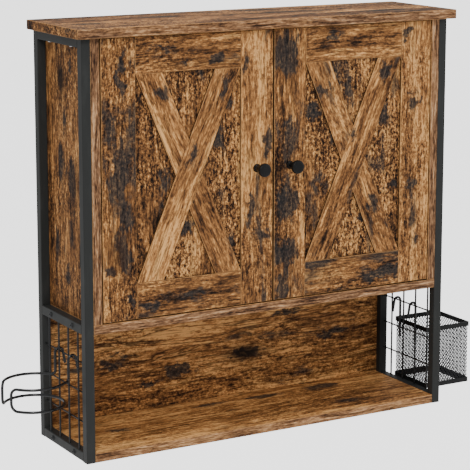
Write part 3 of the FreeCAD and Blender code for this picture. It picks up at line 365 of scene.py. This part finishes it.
def steel(name, colour, rough=0.28, axis=(1.0, 1.0, 0.05)):
    """Bright plated steel with fine drawn lines."""
    m, k, bsdf = material(name)
    tex = k.add("ShaderNodeTexCoord")
    o = tex.outputs["Object"]
    lines = k.noise(k.vec("MULTIPLY", o, tuple(900.0 * a for a in axis)), 1.0, 3.0, 0.6)
    cloud = k.noise(o, 60.0, 3.0, 0.6)
    dim = tuple(c * 0.72 for c in colour[:3]) + (1.0,)
    k.put(k.mix(cloud, colour, dim), bsdf.inputs["Base Color"])
    k.put(k.math("MULTIPLY_ADD", lines, 0.22, rough - 0.08), bsdf.inputs["Roughness"])
    bsdf.inputs["Metallic"].default_value = 1.0
    b = k.add("ShaderNodeBump")
    b.inputs["Strength"].default_value = 0.10
    b.inputs["Distance"].default_value = 0.0001
    k.put(lines, b.inputs["Height"])
    k.put(b.outputs[0], bsdf.inputs["Normal"])
    return m


def dress(node, mat):
    o = nodes[node]
    o.data.materials.clear()
    o.data.materials.append(mat)


X, Y, Z = (1, 0, 0), (0, 1, 0), (0, 0, 1)

# dark weathered marks on the boards: (centre in mm, radii in mm, strength)
MARKS = {
    "top": [((-154, -60, 685), (60, 16, 60), 0.9), ((61, -30, 685), (50, 14, 60), 0.9),
            ((236, -135, 685), (60, 16, 60), 1.1), ((-295, -111, 685), (40, 14, 60), 0.7),
            ((187, -40, 685), (45, 12, 60), 0.8)],
    "shelf": [((187, -38, 15), (40, 12, 60), 1.2), ((-235, -87, 15), (34, 10, 60), 0.9),
              ((73, -40, 15), (46, 10, 60), 1.0), ((-43, -38, 15), (40, 10, 60), 0.9), ((178, -134, 15), (30, 9, 60), 0.7)],
    "back": [((-206, -4, 101), (36, 60, 12), 1.0), ((-143, -4, 56), (26, 60, 7), 1.1), ((-195, -4, 120), (44, 60, 8), 0.8),
             ((54, -4, 85), (46, 60, 8), 0.9), ((218, -4, 101), (52, 60, 8), 0.9), ((135, -4, 148), (43, 60, 8), 0.9),
             ((-83, -4, 73), (41, 60, 8), 0.9)],
    "side_left": [((-324, -64, 469), (60, 10, 32), 1.1), ((-324, -107, 442), (60, 12, 40), 1.2),
                  ((-324, -102, 619), (60, 8, 14), 1.0), ((-324, -81, 531), (60, 7, 22), 0.8),
                  ((-324, -85, 284), (60, 11, 22), 1.0), ((-324, -46, 331), (60, 9, 28), 1.0)],
    "left_rail_top": [((-106, -178, 626), (13, 60, 10), 1.3), ((-162, -178, 624), (14, 60, 6), 1.0),
                      ((-206, -178, 645), (24, 60, 7), 0.8)],
    "left_stile_outer": [((-273, -178, 615), (8, 60, 50), 1.1), ((-291, -178, 525), (17, 60, 31), 0.9),
                         ((-277, -178, 461), (20, 60, 57), 1.0), ((-269, -178, 390), (13, 60, 28), 1.0),
                         ((-271, -178, 330), (13, 60, 32), 1.2), ((-297, -178, 304), (8, 60, 9), 1.2),
                         ((-256, -178, 252), (8, 60, 11), 1.2)],
    "left_panel": [((-223, -174, 589), (16, 60, 14), 1.0), ((-102, -174, 502), (13, 60, 19), 1.3),
                   ((-157, -174, 363), (16, 60, 15), 1.3), ((-199, -174, 438), (13, 60, 26), 1.0),
                   ((-88, -174, 330), (12, 60, 20), 1.0), ((-82, -174, 557), (11, 60, 14), 1.0)],
    "left_brace_upper": [((-202, -178, 579), (18, 60, 8), 0.9)],
    "left_brace_long": [((-149, -178, 482), (9, 60, 22), 1.0), ((-88, -178, 582), (8, 60, 23), 0.9)],
    "left_stile_inner": [((-15, -178, 486), (8, 60, 20), 1.2), ((-43, -178, 378), (8, 60, 23), 1.1),
                         ((-21, -178, 341), (19, 60, 13), 1.2), ((-51, -178, 620), (8, 60, 16), 0.8)],
    "left_rail_bottom": [((-159, -178, 254), (40, 60, 11), 1.0), ((-225, -178, 241), (20, 60, 7), 0.9)],
    "right_stile_inner": [((24, -178, 626), (23, 60, 39), 1.5), ((22, -178, 391), (14, 60, 33), 1.2),
                          ((38, -178, 380), (12, 60, 24), 1.2), ((19, -178, 302), (22, 60, 23), 1.3),
                          ((13, -178, 238), (13, 60, 23), 1.2), ((28, -178, 517), (10, 60, 28), 0.9)],
    "right_rail_top": [((114, -178, 652), (20, 60, 7), 1.0)],
    "right_panel": [((78, -174, 527), (16, 60, 14), 1.3), ((143, -174, 563), (11, 60, 26), 1.1),
                    ((211, -174, 513), (15, 60, 18), 1.1), ((236, -174, 391), (11, 60, 11), 1.2),
                    ((183, -174, 341), (22, 60, 15), 1.1), ((88, -174, 411), (11, 60, 28), 0.8)],
    "right_brace_long": [((214, -178, 586), (11, 60, 16), 1.2), ((150, -178, 487), (8, 60, 18), 1.2)],
    "right_stile_outer": [((258, -178, 645), (9, 60, 10), 1.3), ((276, -178, 534), (13, 60, 13), 1.0),
                          ((276, -178, 393), (11, 60, 10), 1.2), ((287, -178, 296), (9, 60, 15), 0.9)],
    "right_rail_bottom": [((80, -178, 270), (17, 60, 10), 1.3), ((214, -178, 244), (42, 60, 11), 1.2)],
    "right_brace_upper": [((93, -178, 562), (16, 60, 13), 1.0)],
    "right_brace_lower": [((193, -178, 368), (12, 60, 15), 0.9)],
}


def marks(key):
    return [(tuple(v / 1000 for v in c), tuple(v / 1000 for v in r), g) for c, r, g in MARKS.get(key, [])]


dress("top_board", wood("mat_top_board", X, 1.0, -0.03, 0.0, 0.65, marks("top"), banding=0.8, lines=0.5))
dress("bottom_shelf", wood("mat_bottom_shelf", X, 2.3, 0.26, -0.3, 0.35, marks("shelf"), banding=0.8, lines=0.5))
dress("cabinet_floor", wood("mat_cabinet_floor", X, 3.1, -0.04, -0.3, 0.4, banding=0.9))
dress("inner_shelf", wood("mat_inner_shelf", X, 4.7, 0.0, 0.0, 0.5, banding=0.9))
dress("side_panel_left", wood("mat_side_left", Z, 5.2, 0.0, -0.2, 0.5, marks("side_left"), banding=0.9))
dress("side_panel_right", wood("mat_side_right", Z, 6.6, 0.0, 0.1, 0.5, banding=0.9))
dress("upper_back_panel", wood("mat_back_upper", Z, 7.9, -0.03, 0.0, 0.5))
dress("lower_back_panel", wood("mat_back_lower", X, 8.4, 0.19, -0.5, 0.4, marks("back"), lines=1.0))
look = {
    "left": {"panel": (0.01, -0.1, 0.85), "stile_outer": (0.03, 0.1, 0.55), "stile_inner": (0.13, -0.2, 0.45),
             "rail_top": (0.11, -0.5, 0.4), "rail_bottom": (0.03, -0.4, 0.4),
             "brace_long": (0.16, -0.4, 0.22), "brace_upper": (0.19, -0.5, 0.20), "brace_lower": (0.18, -0.5, 0.22)},
    "right": {"panel": (-0.04, 0.1, 0.9), "stile_outer": (0.17, -0.3, 0.45), "stile_inner": (0.0, 0.1, 0.55),
              "rail_top": (0.19, -0.8, 0.25), "rail_bottom": (0.03, 0.0, 0.5),
              "brace_long": (0.16, -0.2, 0.30), "brace_upper": (0.08, 0.0, 0.35), "brace_lower": (0.12, 0.0, 0.32)},
}
rise = (0.1405, 0.0, 0.330)
fall = (-0.1405, 0.0, 0.330)
for side, parts in look.items():
    for j, (part, (tone, char, speckle)) in enumerate(parts.items()):
        grain = {"panel": Z, "stile_outer": Z, "stile_inner": Z, "rail_top": X, "rail_bottom": X,
                 "brace_long": rise, "brace_upper": fall, "brace_lower": fall}[part]
        lines = 0.6 if part.startswith("rail") else 0.2
        seed = 10.3 + 1.73 * j + (0.0 if side == "left" else 17.9)
        # the 0.85 is edge: painted shade on the strips' side faces, partly scorched cut edges
        dress(
            "door_%s_%s" % (side, part),
            wood("mat_door_%s_%s" % (side, part), grain, seed, tone, char, speckle, marks("%s_%s" % (side, part)), 0.85, lines=lines),
        )

black = lin(45, 46, 45)
frame_mat = coated("mat_frame", black, 0.42, spec=0.15)
wire_mat = coated("mat_wire", lin(24, 25, 26), 0.28, bump=0.08, spec=0.35)
hook_mat = coated("mat_hook", lin(20, 21, 22), 0.22, bump=0.05, spec=0.42)
basket_mat = coated("mat_basket_band", lin(22, 23, 23), 0.36)
knob_mat = coated("mat_knob", lin(14, 14, 14), 0.34, grain=1500.0)
plastic = coated("mat_cap", lin(30, 30, 31), 0.55, grain=800.0)
catch_mat = coated("mat_catch", lin(66, 52, 44), 0.5, grain=800.0)
bush_mat = coated("mat_bush", lin(222, 220, 212), 0.45, grain=800.0)
zinc = steel("mat_zinc", (0.72, 0.72, 0.73, 1.0))
black_screw = coated("mat_black_screw", lin(40, 41, 42), 0.33, bump=0.05, metallic=0.0)
beech = wood("mat_dowel", X, 40.0, tone=0.35, char=-2.0, speckle=0.1)
for n in nodes:
    if n.startswith(("front_post", "rear_post")) or "_tube_" in n:
        dress(n, frame_mat)
    elif n.startswith("wire_grid"):
        dress(n, wire_mat)
    elif n in ("basket_top_rim", "basket_base_frame"):
        dress(n, basket_mat)
    elif n in ("basket_hooks", "dryer_holder_wire"):
        dress(n, hook_mat)
    elif n.endswith("_knob"):
        dress(n, knob_mat)
    elif n.endswith(("_knob_screw", "_striker")) or n in (
        "door_pivot_pins", "frame_top_screws", "bracket_screws", "back_panel_screws", "wall_brackets", "shelf_pins"):
        dress(n, zinc)
    elif n == "frame_side_screws":
        dress(n, black_screw)
    elif n.endswith("_pivot_bushes"):
        dress(n, bush_mat)
    elif n == "magnetic_catch":
        dress(n, catch_mat)
    elif n == "post_end_caps":
        dress(n, plastic)
    elif n == "panel_dowels":
        dress(n, beech)


# ------------------------------------------------- the basket's woven diamonds
def clip_line(p, d, w, h):
    """Part of the line p + s*d inside the rectangle 0..w, 0..h."""
    lo, hi = -1e9, 1e9
    for pos, step, size in ((p[0], d[0], w), (p[1], d[1], h)):
        if abs(step) < 1e-12:
            if pos < 0 or pos > size:
                return None
            continue
        a, b = (0 - pos) / step, (size - pos) / step
        lo, hi = max(lo, min(a, b)), min(hi, max(a, b))
    return (lo, hi) if hi - lo > 1e-5 else None


def lattice(name, panels, body, replaced, mat, long_way=0.0070, short_way=0.0058, strand=0.00145, thick=0.0008):
    """Expanded metal: two families of slanted strands that cross in diamonds.
    Each panel is (corner, u direction, v direction, width, height, normal)."""
    bm = bmesh.new()
    for corner, u, v, w, h, nrm in panels:
        corner, u, v, nrm = Vector(corner), Vector(u), Vector(v), Vector(nrm)
        for fam, sgn in enumerate((1, -1)):
            d = Vector((short_way, sgn * long_way)).normalized()
            side = Vector((-d.y, d.x)) * strand / 2
            pitch = short_way
            span = w + h * short_way / long_way
            count = int(span / pitch) + 2
            for i in range(-1, count):
                x0 = i * pitch - (h * short_way / long_way if sgn > 0 else 0)
                hit = clip_line((x0, 0.0), d, w, h)
                if hit is None:
                    continue
                a = Vector((x0, 0.0)) + d * hit[0]
                b = Vector((x0, 0.0)) + d * hit[1]
                n0 = thick * (0.0 if fam == 0 else 0.42)
                n1 = thick * (0.58 if fam == 0 else 1.0)
                ring = []
                for q in (a + side, a - side, b - side, b + side):
                    x = min(max(q.x, 0.0), w)
                    y = min(max(q.y, 0.0), h)
                    for n in (n0, n1):
                        ring.append(bm.verts.new(corner + u * x + v * y + nrm * n))
                f = [(0, 2, 4, 6), (1, 7, 5, 3), (0, 1, 3, 2), (2, 3, 5, 4), (4, 5, 7, 6), (6, 7, 1, 0)]
                for q in f:
                    try:
                        bm.faces.new([ring[j] for j in q])
                    except ValueError:
                        pass
    bmesh.ops.recalc_face_normals(bm, faces=bm.faces)
    me = bpy.data.meshes.new(name)
    bm.to_mesh(me)
    bm.free()
    o = bpy.data.objects.new(name, me)
    scene.collection.objects.link(o)
    me.materials.append(mat)
    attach(o, body)
    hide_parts(*replaced)
    return o


mesh_mat = coated("mat_basket_mesh", lin(34, 35, 37), 0.36, bump=0.05)
lo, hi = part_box("basket_mesh_walls")
t = 0.0008
w, d, h = hi.x - lo.x, hi.y - lo.y, hi.z - lo.z
lattice(
    "basket_wall_lattice",
    [
        ((lo.x, lo.y, lo.z), X, Z, w, h, (0, 1, 0)),
        ((lo.x, hi.y, lo.z), X, Z, w, h, (0, -1, 0)),
        ((lo.x, lo.y, lo.z), Y, Z, d, h, (1, 0, 0)),
        ((hi.x, lo.y, lo.z), Y, Z, d, h, (-1, 0, 0)),
    ],
    "basket", ["basket_mesh_walls"], mesh_mat,
)
lo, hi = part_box("basket_mesh_floor")
lattice(
    "basket_floor_lattice",
    [((lo.x, lo.y, lo.z), X, Y, hi.x - lo.x, hi.y - lo.y, (0, 0, 1))],
    "basket", ["basket_mesh_floor"], mesh_mat,
)

# ------------------------------------------------------------------- stage
def sheet(name, corners, mat):
    me = bpy.data.meshes.new(name)
    me.from_pydata(corners, [], [(0, 1, 2, 3)])
    me.update()
    o = bpy.data.objects.new(name, me)
    scene.collection.objects.link(o)
    me.materials.append(mat)
    return o


FLOOR_GLOW = 1.7
m, k, bsdf = material("mat_floor")
tex = k.add("ShaderNodeTexCoord")
cloud = k.noise(tex.outputs["Object"], 3.0, 3.0, 0.5)
k.put(k.mix(cloud, (0.93, 0.93, 0.93, 1), (0.96, 0.96, 0.96, 1)), bsdf.inputs["Base Color"])
bsdf.inputs["Roughness"].default_value = 0.9
bsdf.inputs["Specular IOR Level"].default_value = 0.1
ray = k.add("ShaderNodeLightPath")
bsdf.inputs["Emission Color"].default_value = (1.0, 1.0, 1.0, 1.0)
k.put(k.math("MULTIPLY", ray.outputs["Is Camera Ray"], FLOOR_GLOW), bsdf.inputs["Emission Strength"])
# one-sided, so that the cabinet can also be seen from underneath
under = k.add("ShaderNodeNewGeometry")
clear = k.add("ShaderNodeBsdfTransparent")
both = k.add("ShaderNodeMixShader")
k.put(under.outputs["Backfacing"], both.inputs[0])
k.t.links.new(bsdf.outputs[0], both.inputs[1])
k.t.links.new(clear.outputs[0], both.inputs[2])
k.t.links.new(both.outputs[0], next(n for n in k.t.nodes if n.type == "OUTPUT_MATERIAL").inputs[0])
sheet("studio_floor", [(-30, -30, -0.42), (30, -30, -0.42), (30, 30, -0.42), (-30, 30, -0.42)], m)

world = bpy.data.worlds.new("studio")
world.use_nodes = True
world.node_tree.nodes["Background"].inputs[0].default_value = (1.0, 1.0, 1.0, 1.0)
k = Tree(world.node_tree)
ray = k.add("ShaderNodeLightPath")
k.put(k.math("MULTIPLY_ADD", ray.outputs["Is Camera Ray"], 1.75, 0.66), world.node_tree.nodes["Background"].inputs[1])
scene.world = world


def area(name, pos, aim, size, power, colour=(1.0, 1.0, 1.0)):
    light = bpy.data.lights.new(name, "AREA")
    light.shape = "RECTANGLE"
    light.size, light.size_y = size
    light.energy = power
    light.color = colour
    o = bpy.data.objects.new(name, light)
    scene.collection.objects.link(o)
    o.location = pos
    o.rotation_euler = (Vector(aim) - Vector(pos)).to_track_quat("-Z", "Y").to_euler()
    return o


area("key", (-1.6, -2.3, 2.2), (0, -0.1, 0.35), (0.8, 0.8), 44)
area("fill", (2.4, -2.0, 1.0), (0, -0.1, 0.35), (1.6, 1.6), 12)
area("top", (0.0, -0.3, 2.6), (0, -0.1, 0.3), (1.6, 1.0), 30)

# ------------------------------------------------------------------ camera
cam_data = bpy.data.cameras.new("camera")
cam_data.sensor_width = 36.0
cam_data.lens = 1876.8 * 36.0 / 470.0
cam_data.shift_y = -0.1
cam_data.dof.use_dof = False
cam_data.clip_start, cam_data.clip_end = 0.05, 100.0
cam = bpy.data.objects.new("camera", cam_data)
scene.collection.objects.link(cam)
yaw, pitch = math.radians(29.81), math.radians(-10.46)
look_dir = Vector((math.sin(yaw) * math.cos(pitch), math.cos(yaw) * math.cos(pitch), math.sin(pitch)))
cam.location = (-1.539, -2.739, 0.962)
cam.rotation_mode = "QUATERNION"
cam.rotation_quaternion = look_dir.to_track_quat("-Z", "Y")
scene.camera = cam
